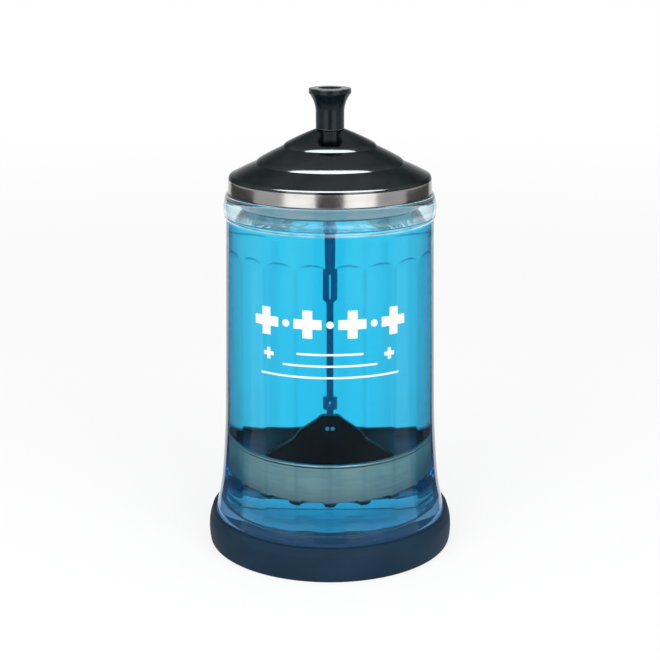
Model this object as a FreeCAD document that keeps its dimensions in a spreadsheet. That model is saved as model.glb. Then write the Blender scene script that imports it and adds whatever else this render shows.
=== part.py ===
import FreeCAD, Part

import math
import os
import re

import Sketcher

# A counter-top disinfectant jar, as used in nail and hair salons.
# Millimetres, +Z up. The origin is the centre of the face that the rubber base rests on.
#
# The jar is pressed glass with an 18-sided panelled bore, and stands in a rubber base.
# A spun steel lid drops into its mouth. A plastic rod runs through a bush in the lid's
# centre. Its knob raises a perforated steel tray, which hangs on the foot of the rod.

SIZES = {
    # rubber base
    "base_floor": (3.0, "rubber under the glass"),
    "base_wall": (3.0, "rubber round the widest part of the foot"),
    "base_rise": (15.6, "top of the lip, above the table"),
    "base_ledge": (17.6, "width of the base's floor, in from the foot's side"),
    "base_bulge_r": (29.0, "radius of the bulge of the side"),
    "base_edge": (1.5, "height and depth of the rounded lower edge"),
    "lip_fall": (2.0, "how far the lip leans in, from the bulge to its top"),
    "lip_round": (0.5, "rounding of the lip"),
    "grip_depth": (0.8, "depth of the grooves in the underside"),
    "grip_width": (1.8, "width of each groove"),
    "grip_inset": (3.5, "inner groove, out from the floor's opening"),
    "grip_pitch": (6.0, "outer groove, out from the inner one"),
    # glass jar, outside
    "foot_out": (3.6, "how much wider the foot is than the hip"),
    "foot_round": (5.0, "rounding under the foot"),
    "foot_band": (9.0, "top of the straight foot, above its underside"),
    "foot_turn": (0.65, "fall in radius as the foot turns into the flare"),
    "foot_turn_height": (5.0, "height of that turn"),
    "foot_turn_r": (19.0, "its radius"),
    "flare_height": (16.0, "height of the flare above the turn"),
    "flare_r": (95.0, "its radius"),
    "hip_out": (1.9, "how much wider the hip is than the waist"),
    "hip_height": (30.0, "height of the hip"),
    "hip_r": (480.0, "its radius"),
    "waist_out": (1.7, "how much wider the waist is than the neck"),
    "wall": (4.7, "wall at the neck, outside the panels' corners"),
    "glass_floor": (11.0, "thickness of the floor"),
    "push_up": (1.2, "hollow under the floor"),
    "push_up_slope": (3.0, "width of the slope from that hollow to the ring the foot bears on"),
    "bearing_in": (8.6, "how far that ring's inner edge is in from the foot's side"),
    # glass jar, rim and bore
    "rim_height": (163.6, "top of the rim, above the table"),
    "bead_height": (11.0, "height of the rim's bead"),
    "bead_out": (0.8, "step of the bead beyond the neck"),
    "bead_crown_r": (13.5, "radius of the bead's bulge"),
    "bead_foot": (1.6, "height of the rounding under the bead"),
    "rim_round": (2.0, "outer rounding of the rim"),
    "mouth_round": (1.5, "inner rounding of the rim"),
    "mouth_r": (42.3, "radius of the mouth"),
    "mouth_out": (0.6, "how much wider the mouth is than the panels' corners at their top"),
    "bore_clear": (0.1, "how much wider the round bore is than the panels' corners"),
    "bore_draft": (0.8, "how much narrower the bore is at the floor"),
    "bore_round": (5.0, "rounding between the bore and the floor"),
    "panel_count": (18, "panels round the bore"),
    "panel_drop": (26.6, "top of the panels, below the rim"),
    "run_out_height": (4.0, "height over which the panels lean back into the round bore"),
    "run_out": (1.3, "how far they lean back over that height"),
    # lid
    "seat_gap": (0.3, "gap between the lid and the rim"),
    "lid_overhang": (3.1, "how much wider the lid is than the mouth"),
    "lid_gauge": (0.8, "thickness of the lid's sheet, measured upright on the dome"),
    "band_gauge": (0.7, "thickness of the lid's sheet in the band and the hem"),
    "curl_height": (1.5, "height of the curled lower edge"),
    "curl_in": (0.35, "how far that edge turns in"),
    "curl_r": (0.95, "its radius"),
    "band_height": (6.1, "height of the lid's upright band"),
    "band_taper": (0.3, "how much narrower the band is at its top"),
    "shoulder_up": (2.4, "height of the rounding from the band to the dome"),
    "shoulder_in": (2.5, "width of that rounding"),
    "shoulder_r": (5.8, "its radius"),
    "dome_r": (120.0, "radius of the curve of each tier"),
    "outer_tier_rise": (4.5, "rise of the outer tier"),
    "middle_tier_rise": (5.4, "rise of the middle tier"),
    "top_tier_rise": (5.9, "rise of the top tier"),
    "middle_tier_r": (31.4, "outer radius of the middle tier"),
    "top_tier_r": (19.3, "outer radius of the top tier"),
    "step_rise": (1.7, "height of the step between two tiers"),
    "step_out": (1.6, "width of that step"),
    "step_r": (4.5, "radius of its rounding"),
    "land_r": (6.5, "flat land round the centre hole"),
    "hem_clear": (0.3, "gap between the hem and the locating ring"),
    "plug_clear": (0.5, "gap between the locating ring and the mouth"),
    "plug_depth": (6.0, "reach of the locating ring into the mouth"),
    "plug_gauge": (0.6, "thickness of the locating ring"),
    "plug_flange": (1.7, "width of its flange"),
    "plug_lead": (0.8, "height and depth of its turned-in lower edge"),
    # bush in the lid's centre hole
    "bush_r": (4.9, "radius of the bush"),
    "bush_clear": (0.1, "gap between the bush and the lid"),
    "bush_flange_out": (0.6, "flange beyond the bush's body"),
    "bush_flange": (0.6, "thickness of that flange"),
    "bush_length": (5.6, "length of the bush below its flange"),
    "clip_gauge": (0.5, "thickness of the push-on clip"),
    "clip_out": (1.5, "reach of the clip beyond the bush"),
    # rod
    "rod_r": (1.8, "radius of the rod"),
    "rod_clear": (0.08, "running clearance in the bush"),
    "paddle_half": (2.95, "half the width of the split paddle and radius of the stop collar"),
    "paddle_thick": (2.2, "thickness of the paddle"),
    "paddle_clear": (0.2, "clearance of the paddle in the bush's slot"),
    "paddle_rise": (87.2, "foot of the paddle, above the tray's floor"),
    "paddle_length": (14.5, "length of the paddle"),
    "paddle_slope": (1.6, "length of the tapers at its ends"),
    "split_length": (11.5, "length of the split"),
    "split_width": (1.2, "width of the split"),
    "collar_rise": (37.7, "foot of the stop collar, above the tray's floor"),
    "collar_length": (5.5, "length of the stop collar"),
    "collar_slope": (0.8, "length of the taper under it"),
    "eye_width": (1.4, "width of the eye through the collar"),
    "eye_height": (2.6, "height of that eye"),
    "tongue_half": (2.4, "half the width of the rod's flat tongue"),
    "tongue_thick": (2.0, "thickness of the tongue"),
    "tongue_length": (13.0, "length of the tongue"),
    # knob
    "knob_gap": (0.3, "gap between the knob and the lid's land"),
    "knob_height": (17.6, "height of the knob"),
    "knob_r": (9.35, "radius of the knob's top"),
    "knob_rim": (2.2, "thickness of the knob's top edge"),
    "knob_rim_out": (0.4, "step from the flare to that edge"),
    "knob_round": (0.6, "rounding of the top edge"),
    "hood_wall": (0.6, "wall of the knob round the bush, which sets the neck's radius"),
    "knob_neck_height": (7.6, "height of the straight neck"),
    "knob_flare_r": (13.5, "radius of the flare"),
    "hood_clear": (0.2, "gap round the bush's flange under the knob"),
    "hood_height": (1.0, "depth of the hollow under the knob"),
    "socket_depth": (9.0, "depth of the rod's socket, above the knob's foot"),
    "cap_r": (5.2, "radius of the cap over the screw"),
    "cap_thick": (1.2, "thickness of that cap"),
    "screw_seat": (4.5, "seat of the knob's screw, below the knob's top"),
    "screw_head_r": (1.9, "radius of the screw's head"),
    "screw_head": (1.4, "height of the screw's head"),
    "screw_r": (0.9, "radius of the screw's shank"),
    "screw_grip": (7.0, "length of the screw in the rod"),
    "screw_clear": (0.05, "gap round a screw or rivet"),
    # foot of the rod
    "web_thick": (1.6, "thickness of the triangular web"),
    "web_apex_half": (3.1, "half the width of the web's top"),
    "web_rise": (34.7, "top of the web, above the tray's floor"),
    "web_end": (3.0, "height of the web's ends"),
    "web_inset": (0.7, "gap between the web's ends and the tray's corner"),
    "web_rib": (3.2, "thickness of the ribs along the web's edges"),
    "web_rib_width": (2.0, "width of those ribs, measured level"),
    "spine_half": (2.0, "half the width of the web's middle rib"),
    "cheek_half": (4.3, "half the width of the thick part round the tongue"),
    "cheek_thick": (4.4, "thickness of that part"),
    "cheek_drop": (1.0, "thick part, below the tongue's end"),
    "sole_thick": (1.8, "thickness of the strip that lies on the tray"),
    "sole_half": (3.0, "half the width of that strip"),
    "rivet_r": (0.5, "radius of the rivets through the tongue"),
    "rivet_half": (1.35, "distance of each rivet from the rod's middle"),
    "rivet_drop": (6.0, "rivets, below the web's top"),
    "rivet_head_r": (0.9, "radius of the rivets' heads"),
    "rivet_head": (0.35, "height of the rivets' heads"),
    "post_in": (18.7, "how far each screw post is in from the tray's side"),
    "post_r": (2.7, "radius of the screw posts"),
    "post_height": (8.0, "height of the screw posts"),
    # tray and its fasteners
    "tray_clear": (13.5, "tray, above the jar's floor"),
    "tray_r": (34.7, "outer radius of the tray"),
    "tray_height": (21.0, "height of the tray"),
    "tray_gauge": (0.8, "thickness of the tray's sheet"),
    "tray_corner": (3.0, "rounding round the tray's floor"),
    "tray_bead": (0.95, "radius of the tray's rolled rim"),
    "edge_hole_count": (15, "drain holes round the corner"),
    "edge_hole_r": (5.5, "radius of those holes"),
    "edge_hole_inset": (3.5, "their centres, in from the tray's wall"),
    "edge_hole_rise": (3.3, "how high they cut into the wall"),
    "floor_hole_count": (12, "drain holes in the floor"),
    "floor_hole_r": (2.6, "radius of those holes"),
    "floor_hole_in": (12.2, "how far their ring is in from the tray's side"),
    "post_screw_r": (1.2, "radius of the tray screws"),
    "post_screw_grip": (6.5, "length of a tray screw above the tray's underside"),
    "pan_head_r": (2.5, "radius of a tray screw's head"),
    "pan_head": (1.5, "height of a tray screw's head"),
    "washer_r": (3.2, "radius of the washers"),
    "washer_gauge": (0.5, "thickness of the washers"),
}

# Radii and heights that several pieces share, as sums of the sizes above.
GLASS_FOOT = "base_floor"
JAR_FLOOR = "(base_floor + glass_floor)"
PANEL_TOP = "(rim_height - panel_drop)"
BORE_R = "(mouth_r - mouth_out)"
NECK_R = f"({BORE_R} + wall)"
WAIST_R = f"({NECK_R} + waist_out)"
HIP_R = f"({WAIST_R} + hip_out)"
FOOT_R = f"({HIP_R} + foot_out)"
BASE_HOLE_R = f"({FOOT_R} - base_ledge)"
LID_SEAT = "(rim_height + seat_gap)"
LID_R = "(mouth_r + lid_overhang)"
BAND_TOP = "(rim_height + seat_gap + band_height)"
SHOULDER = f"({BAND_TOP} + shoulder_up)"
MIDDLE_TIER = f"({SHOULDER} + outer_tier_rise + step_rise)"
TOP_TIER = f"({MIDDLE_TIER} + middle_tier_rise + step_rise)"
LAND = f"({TOP_TIER} + top_tier_rise)"
KNOB_FOOT = f"({LAND} + knob_gap)"
KNOB_TOP = f"({KNOB_FOOT} + knob_height)"
PLUG_R = "(mouth_r - plug_clear)"
TRAY_FOOT = f"({JAR_FLOOR} + tray_clear)"
TRAY_FLOOR = f"({TRAY_FOOT} + tray_gauge)"
WEB_TOP = f"({TRAY_FLOOR} + web_rise)"
WEB_HALF = "(tray_r - tray_corner - web_inset)"
POST_HALF = "(tray_r - post_in)"
FLOOR_HOLE_RING = "(tray_r - floor_hole_in)"
RIVET_HEIGHT = f"({WEB_TOP} - rivet_drop)"

doc = FreeCAD.newDocument("disinfectant_jar")
sheet = doc.addObject("Spreadsheet::Sheet", "Sizes")
for row, (alias, (number, meaning)) in enumerate(SIZES.items(), start=1):
    sheet.set(f"A{row}", alias)
    sheet.set(f"B{row}", str(number))
    sheet.set(f"C{row}", meaning)
    sheet.setAlias(f"B{row}", alias)
doc.recompute()


def sized(text):
    """Put the sheet's name before each size in an expression."""
    return re.sub(r"[a-z_]+", lambda word: "Sizes." + word[0] if word[0] in SIZES else word[0], str(text))


def value(text):
    """Work out an expression on the sheet's sizes."""
    return float(sheet.evalExpression(sized(text)))


def plane(body, role):
    """Find one of a body's own origin planes."""
    return next(item for item in body.Origin.OriginFeatures if item.Role == role)


def sketch(body, name, role, lift=None):
    """Start a sketch on an origin plane of its body, lifted along the plane's normal if asked."""
    drawing = body.newObject("Sketcher::SketchObject", name)
    drawing.AttachmentSupport = [(plane(body, role), "")]
    drawing.MapMode = "FlatFace"
    if lift:
        drawing.setExpression(".AttachmentOffset.Base.z", sized(lift))
    return drawing


def hold(drawing, kind, where, text):
    """Bind one measure of a sketch to an expression."""
    number = drawing.addConstraint(Sketcher.Constraint(kind, *where, value(text)))
    drawing.setExpression(f"Constraints[{number}]", sized(text))


def line(x, y):
    """A straight run to a point."""
    return x, y, None, False, False


def arc(x, y, radius, left=True, long=False):
    """A round run to a point, turning left or right, by the short or the long way."""
    return x, y, radius, left, long


def outline(drawing, start, *runs):
    """Draw a closed outline: each run's end is held by its place, each arc by its radius."""
    if runs[-1][:2] != tuple(start):
        runs += (line(*start),)
    corners = [start] + [run[:2] for run in runs]
    places = [FreeCAD.Vector(value(x), value(y), 0) for x, y in corners]
    joints = []
    for first, last, (_, _, radius, left, long) in zip(places, places[1:], runs):
        if radius is None:
            edge = drawing.addGeometry(Part.LineSegment(first, last), False)
            joints.append(((edge, 1), (edge, 2)))
            continue
        size = value(radius)
        chord = last - first
        side = FreeCAD.Vector(-chord.y, chord.x, 0).normalize()
        reach = math.sqrt(size**2 - chord.Length**2 / 4)
        centre = (first + last) / 2 + side * (reach if left != long else -reach)
        tail, head = (first, last) if left else (last, first)
        angles = [math.atan2(end.y - centre.y, end.x - centre.x) for end in (tail, head)]
        circle = Part.Circle(centre, FreeCAD.Vector(0, 0, 1), size)
        edge = drawing.addGeometry(Part.ArcOfCircle(circle, *angles), False)
        joints.append(((edge, 1), (edge, 2)) if left else ((edge, 2), (edge, 1)))
        hold(drawing, "Radius", (edge,), radius)
    for (_, before), (after, _), corner in zip(joints[-1:] + joints[:-1], joints, corners):
        drawing.addConstraint(Sketcher.Constraint("Coincident", *before, *after))
        hold(drawing, "DistanceX", (-1, 1, *after), corner[0])
        hold(drawing, "DistanceY", (-1, 1, *after), corner[1])
    return drawing


def ring(drawing, x, y, radius):
    """Draw a circle held by its centre and radius."""
    centre = FreeCAD.Vector(value(x), value(y), 0)
    edge = drawing.addGeometry(Part.Circle(centre, FreeCAD.Vector(0, 0, 1), value(radius)), False)
    hold(drawing, "DistanceX", (-1, 1, edge, 3), x)
    hold(drawing, "DistanceY", (-1, 1, edge, 3), y)
    hold(drawing, "Radius", (edge,), radius)
    return drawing


def new_body(name):
    """Start a body, named as its node."""
    body = doc.addObject("PartDesign::Body", name)
    body.Label = name
    return body


def turn(body, name, start, *runs, cut=False):
    """Turn an outline in the XZ plane about the Z axis, as new material or as a cut."""
    drawing = outline(sketch(body, name + "_section", "XZ_Plane"), start, *runs)
    kind = "PartDesign::Groove" if cut else "PartDesign::Revolution"
    feature = body.newObject(kind, name)
    feature.Profile = drawing
    feature.ReferenceAxis = (drawing, ["V_Axis"])
    feature.Angle = 360
    return finish(body, feature, cut)


def pad(body, name, drawing, length, middle=True):
    """Raise a sketch to both sides of its plane, or along its normal."""
    feature = body.newObject("PartDesign::Pad", name)
    feature.Profile = drawing
    feature.SideType = "Symmetric" if middle else "One side"
    feature.setExpression("Length", sized(length))
    return finish(body, feature, False)


def pocket(body, name, drawing, length, middle=True):
    """Cut a sketch to both sides of its plane, or along its normal."""
    feature = body.newObject("PartDesign::Pocket", name)
    feature.Profile = drawing
    feature.SideType = "Symmetric" if middle else "One side"
    feature.Reversed = not middle
    feature.setExpression("Length", sized(length))
    return finish(body, feature, True)


def finish(body, feature, cut):
    """Recompute a body's new feature and stop if a cut took nothing away."""
    body.Tip = feature
    doc.recompute()
    if cut and feature.Shape.Volume > feature.BaseFeature.Shape.Volume - 1e-6:
        raise RuntimeError(f"{feature.Name} cuts nothing")
    return feature


def pattern(body, name, feature, count):
    """Repeat a feature round the Z axis."""
    copies = body.newObject("PartDesign::PolarPattern", name)
    copies.Originals = [feature]
    copies.Axis = (next(item for item in body.Origin.OriginFeatures if item.Role == "Z_Axis"), [""])
    copies.Angle = 360
    copies.setExpression("Occurrences", sized(count))
    return finish(body, copies, True)


def boolean(kind, name, base, tool):
    """Combine two solids of the document under a name."""
    result = doc.addObject(kind, name)
    result.Label = name
    result.Base = base
    result.Tool = tool
    doc.recompute()
    return result


def pair(name, piece):
    """A piece and its mirror image across the YZ plane, as one group of separate solids."""
    twin = doc.addObject("Part::Mirroring", name + "_twin")
    twin.Source = piece
    twin.Normal = FreeCAD.Vector(1, 0, 0)
    group = doc.addObject("Part::Compound", name)
    group.Label = name
    group.Links = [piece, twin]
    doc.recompute()
    return group


def jar_outside():
    """The glass without its bore: foot, flare, tapering side and beaded rim."""
    body = new_body("jar_outside")
    bead = "(rim_height - bead_height)"
    turn_height = "(base_floor + foot_band)"
    flare_foot = f"({turn_height} + foot_turn_height)"
    hip = f"({flare_foot} + flare_height)"
    bearing = f"({FOOT_R} - bearing_in)"
    turn(
        body,
        "outside",
        (0, "base_floor + push_up"),
        line(f"{bearing} - push_up_slope", "base_floor + push_up"),
        line(bearing, GLASS_FOOT),
        line(f"{FOOT_R} - foot_round", GLASS_FOOT),
        arc(FOOT_R, "base_floor + foot_round", "foot_round"),
        line(FOOT_R, turn_height),
        arc(f"{FOOT_R} - foot_turn", flare_foot, "foot_turn_r"),
        arc(HIP_R, hip, "flare_r", left=False),
        arc(WAIST_R, f"{hip} + hip_height", "hip_r", left=False),
        line(NECK_R, bead),
        arc(f"{NECK_R} + bead_out", f"{bead} + bead_foot", "bead_foot"),
        arc(f"{NECK_R} + bead_out / 2", "rim_height - rim_round", "bead_crown_r"),
        arc(f"{NECK_R} + bead_out / 2 - rim_round", "rim_height", "rim_round"),
        line(0, "rim_height"),
    )
    return body


def round_bore():
    """The round part of the bore: floor corner, upright wall, and the flare of the mouth."""
    body = new_body("round_bore")
    wide = f"({BORE_R} + bore_clear)"
    turn(
        body,
        "bore",
        (0, JAR_FLOOR),
        line(f"{wide} - bore_round", JAR_FLOOR),
        arc(wide, f"{JAR_FLOOR} + bore_round", "bore_round"),
        line(wide, PANEL_TOP),
        line("mouth_r", "rim_height - mouth_round"),
        arc("mouth_r + mouth_round", "rim_height", "mouth_round", left=False),
        line("mouth_r + mouth_round", "rim_height + bore_round"),
        line(0, "rim_height + bore_round"),
    )
    return body


def panel_ring(name, corner, height):
    """One cross-section of the panelled bore, with a corner at the front."""
    polygon = doc.addObject("Part::RegularPolygon", name)
    polygon.setExpression("Polygon", sized("panel_count"))
    polygon.setExpression("Circumradius", sized(corner))
    polygon.setExpression("Placement.Base.z", sized(height))
    polygon.Placement.Rotation = FreeCAD.Rotation(FreeCAD.Vector(0, 0, 1), -90)
    return polygon


def panelled_bore():
    """The panels: upright with a draft, then leaning back until the round bore takes over.

    Common to both bores, each panel ends in an arch, because its middle is the last part
    of it to reach the round wall.
    """
    slope = "run_out / run_out_height"
    above = "rim_height + bore_round * 2"
    sections = [
        panel_ring("panels_at_floor", f"{BORE_R} - bore_draft", f"{JAR_FLOOR} - bore_round"),
        panel_ring("panels_at_top", BORE_R, PANEL_TOP),
        panel_ring("panels_above", f"{BORE_R} + {slope} * ({above} - {PANEL_TOP})", above),
    ]
    loft = doc.addObject("Part::Loft", "panelled_bore")
    loft.Sections = sections
    loft.Solid = True
    loft.Ruled = True
    doc.recompute()
    return loft


def glass_jar(outside):
    """Pressed glass jar: its outside less what both bores share."""
    bore = boolean("Part::Common", "bore", round_bore(), panelled_bore())
    return boolean("Part::Cut", "glass_jar", outside, bore)


def rubber_base(outside):
    """Rubber base, moulded to the foot of the glass and stretched over it."""
    body = new_body("base_blank")
    side = f"({FOOT_R} + base_wall)"
    lip = f"({side} - lip_fall)"
    inside = f"({FOOT_R} - foot_round)"
    turn(
        body,
        "base",
        (BASE_HOLE_R, 0),
        line(f"{side} - base_edge", 0),
        arc(f"{side} - base_edge * 0.3", "base_edge", "base_edge * 1.2"),
        arc(f"{side} - base_edge * 0.3", "base_rise - lip_fall * 2", "base_bulge_r"),
        line(f"{lip} + lip_round", "base_rise - lip_round"),
        arc(lip, "base_rise", "lip_round"),
        line(inside, "base_rise"),
        line(inside, GLASS_FOOT),
        line(BASE_HOLE_R, GLASS_FOOT),
    )
    for name, inset in (("inner_grip", "grip_inset"), ("outer_grip", "(grip_inset + grip_pitch)")):
        near = f"({BASE_HOLE_R} + {inset})"
        turn(
            body,
            name,
            (near, 0),
            line(f"{near} + grip_width", 0),
            line(f"{near} + grip_width - grip_depth / 2", "grip_depth"),
            line(f"{near} + grip_depth / 2", "grip_depth"),
            cut=True,
        )
    return boolean("Part::Cut", "rubber_base", body, outside)


def dome_runs(inset, drop, shoulder):
    """The lid's outline from the top of its band to the axis, set in at the band and dropped."""
    band = f"({LID_R} - band_taper)"
    return (
        line(f"{band} - {inset}", BAND_TOP),
        arc(f"{band} - shoulder_in", f"{SHOULDER} - {drop}", shoulder),
        arc("middle_tier_r + step_out", f"{MIDDLE_TIER} - step_rise - {drop}", "dome_r"),
        arc("middle_tier_r", f"{MIDDLE_TIER} - {drop}", "step_r"),
        arc("top_tier_r + step_out", f"{TOP_TIER} - step_rise - {drop}", "dome_r"),
        arc("top_tier_r", f"{TOP_TIER} - {drop}", "step_r"),
        arc("land_r", f"{LAND} - {drop}", "dome_r"),
        line(0, f"{LAND} - {drop}"),
    )


def lid_shell():
    """Spun steel lid: hem, curled edge, upright band, domed tiers and a flat centre."""
    body = new_body("lid_shell")
    turn(
        body,
        "dome",
        (0, LID_SEAT),
        line(f"{LID_R} - curl_in", LID_SEAT),
        arc(LID_R, f"{LID_SEAT} + curl_height", "curl_r"),
        *dome_runs(0, 0, "shoulder_r"),
    )
    turn(
        body,
        "hollow",
        (0, LID_SEAT),
        line(f"{PLUG_R} + hem_clear", LID_SEAT),
        line(f"{PLUG_R} + hem_clear", f"{LID_SEAT} + band_gauge"),
        line(f"{LID_R} - band_gauge", f"{LID_SEAT} + band_gauge"),
        *dome_runs("band_gauge", "lid_gauge", "(shoulder_r - band_gauge)"),
        cut=True,
    )
    hole = ring(sketch(body, "rod_hole_outline", "XY_Plane", LAND), 0, 0, "bush_r + bush_clear")
    pocket(body, "rod_hole", hole, "lid_gauge * 4")
    return body


def lid_plug_ring():
    """Pressed ring held in the lid's hem, whose skirt drops into the mouth of the jar."""
    body = new_body("lid_plug_ring")
    low = "(rim_height + seat_gap - plug_depth)"
    shelf = "(rim_height + seat_gap + band_gauge)"
    inner = f"({PLUG_R} - plug_gauge)"
    turn(
        body,
        "locating_ring",
        (inner, f"{shelf} + plug_gauge"),
        line(inner, f"{low} + plug_lead"),
        line(f"{inner} - plug_lead", low),
        line(f"{inner} - plug_lead + plug_gauge", low),
        line(PLUG_R, f"{low} + plug_lead"),
        line(PLUG_R, shelf),
        line(f"{PLUG_R} + plug_flange", shelf),
        line(f"{PLUG_R} + plug_flange", f"{shelf} + plug_gauge"),
    )
    return body


def rod_bush():
    """Plastic bush in the lid: round way for the rod, slot for its flat split paddle."""
    body = new_body("rod_bush")
    foot = f"({LAND} - bush_length)"
    turn(
        body,
        "bush",
        (0, foot),
        line("bush_r - bush_flange", foot),
        line("bush_r", f"{foot} + bush_flange"),
        line("bush_r", LAND),
        line("bush_r + bush_flange_out", LAND),
        line("bush_r + bush_flange_out", f"{LAND} + bush_flange"),
        line(0, f"{LAND} + bush_flange"),
    )
    way = ring(sketch(body, "rod_way_outline", "XY_Plane", LAND), 0, 0, "rod_r + rod_clear")
    pocket(body, "rod_way", way, "bush_length * 3")
    half = "(paddle_half + paddle_clear)"
    side = "(paddle_thick / 2 + paddle_clear)"
    slot = box_outline(sketch(body, "paddle_way_outline", "XY_Plane", LAND), half, f"-{side}", side)
    pocket(body, "paddle_way", slot, "bush_length * 3")
    return body


def box_outline(drawing, half, low, high):
    """Draw a rectangle that is centred across and runs from a low to a high line."""
    return outline(drawing, (f"-{half}", low), line(half, low), line(half, high), line(f"-{half}", high))


def bush_clip():
    """Push-on clip that holds the bush against the underside of the lid."""
    body = new_body("bush_clip")
    top = f"({LAND} - lid_gauge)"
    turn(
        body,
        "clip",
        ("bush_r", top),
        line("bush_r", f"{top} - clip_gauge"),
        line("bush_r + clip_out", f"{top} - clip_gauge"),
        line("bush_r + clip_out", top),
    )
    return body


def knob():
    """Moulded knob: hollow foot over the bush, neck, flare and flat top."""
    body = new_body("knob")
    hood_r = "(bush_r + bush_flange_out + hood_clear)"
    neck_r = f"({hood_r} + hood_wall)"
    hood_top = f"({KNOB_FOOT} + hood_height)"
    socket_top = f"({KNOB_FOOT} + socket_depth)"
    seat = f"({KNOB_TOP} - screw_seat)"
    well = "(screw_head_r + screw_clear)"
    rim = f"({KNOB_TOP} - knob_rim)"
    turn(
        body,
        "moulding",
        (hood_r, KNOB_FOOT),
        line(neck_r, KNOB_FOOT),
        line(neck_r, f"{KNOB_FOOT} + knob_neck_height"),
        arc("knob_r - knob_rim_out", f"{rim} - knob_rim_out", "knob_flare_r", left=False),
        line("knob_r", rim),
        line("knob_r", f"{KNOB_TOP} - knob_round"),
        arc("knob_r - knob_round", KNOB_TOP, "knob_round"),
        line("cap_r", KNOB_TOP),
        line("cap_r", f"{KNOB_TOP} - cap_thick"),
        line(well, f"{KNOB_TOP} - cap_thick"),
        line(well, seat),
        line("screw_r + screw_clear", seat),
        line("screw_r + screw_clear", socket_top),
        line("rod_r", socket_top),
        line("rod_r", hood_top),
        line(hood_r, hood_top),
    )
    return body


def knob_cap():
    """Disc pressed into the knob's top, over the screw."""
    body = new_body("knob_cap")
    foot = f"({KNOB_TOP} - cap_thick)"
    turn(
        body,
        "disc",
        (0, foot),
        line("cap_r", foot),
        line("cap_r", KNOB_TOP),
        line(0, KNOB_TOP),
    )
    return body


def knob_screw():
    """Screw from the knob down into the rod."""
    body = new_body("knob_screw")
    seat = f"({KNOB_TOP} - screw_seat)"
    tip = f"({KNOB_FOOT} + socket_depth - screw_grip)"
    turn(
        body,
        "screw",
        (0, tip),
        line("screw_r", f"{tip} + screw_r"),
        line("screw_r", seat),
        line("screw_head_r", seat),
        line("screw_head_r", f"{seat} + screw_head"),
        line(0, f"{seat} + screw_head"),
    )
    return body


def lift_rod():
    """Moulded rod: tongue, stop collar with its eye, split paddle, and the end in the knob."""
    body = new_body("lift_rod")
    collar = f"({TRAY_FLOOR} + collar_rise)"
    top = f"({KNOB_FOOT} + socket_depth)"
    pilot = "(screw_r + screw_clear)"
    pilot_foot = f"({top} - screw_grip - screw_r)"
    turn(
        body,
        "shaft",
        (0, WEB_TOP),
        line("rod_r", WEB_TOP),
        line("rod_r", f"{collar} - collar_slope"),
        line("paddle_half", collar),
        line("paddle_half", f"{collar} + collar_length"),
        line("rod_r", f"{collar} + collar_length"),
        line("rod_r", top),
        line(pilot, top),
        line(pilot, pilot_foot),
        line(0, pilot_foot),
    )
    foot = f"({TRAY_FLOOR} + paddle_rise)"
    head = f"({TRAY_FLOOR} + paddle_rise + paddle_length)"
    paddle = outline(
        sketch(body, "paddle_outline", "XZ_Plane"),
        ("-rod_r", foot),
        line("rod_r", foot),
        line("paddle_half", f"{foot} + paddle_slope"),
        line("paddle_half", f"{head} - paddle_slope / 2"),
        line("rod_r", head),
        line("-rod_r", head),
        line("-paddle_half", f"{head} - paddle_slope / 2"),
        line("-paddle_half", f"{foot} + paddle_slope"),
    )
    pad(body, "paddle", paddle, "paddle_thick")
    tongue = sketch(body, "tongue_outline", "XZ_Plane")
    box_outline(tongue, "tongue_half", f"{WEB_TOP} - tongue_length", WEB_TOP)
    pad(body, "tongue", tongue, "tongue_thick")
    through = "paddle_half * 3"
    middle = f"({foot} + paddle_length / 2)"
    split = round_slot(sketch(body, "split_outline", "XZ_Plane"), middle, "split_length", "split_width")
    pocket(body, "split", split, through)
    middle = f"({collar} + collar_length / 2)"
    eye = round_slot(sketch(body, "eye_outline", "XZ_Plane"), middle, "eye_height", "eye_width")
    pocket(body, "eye", eye, through)
    pocket(body, "rivet_holes", rivet_rings(body), through)
    return body


def round_slot(drawing, middle, length, width):
    """Draw an upright slot with round ends about a height on the rod's axis."""
    low = f"({middle} - ({length} - {width}) / 2)"
    high = f"({middle} + ({length} - {width}) / 2)"
    side = f"({width} / 2)"
    return outline(
        drawing,
        (side, low),
        line(side, high),
        arc(f"-{side}", high, f"{side} * 1.001"),
        line(f"-{side}", low),
        arc(side, low, f"{side} * 1.001"),
    )


def rivet_rings(body):
    """Draw the two holes that the rivets pass through."""
    drawing = sketch(body, "rivet_outline", "XZ_Plane")
    for side in ("-rivet_half", "rivet_half"):
        ring(drawing, side, RIVET_HEIGHT, "rivet_r + screw_clear")
    return drawing


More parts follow.
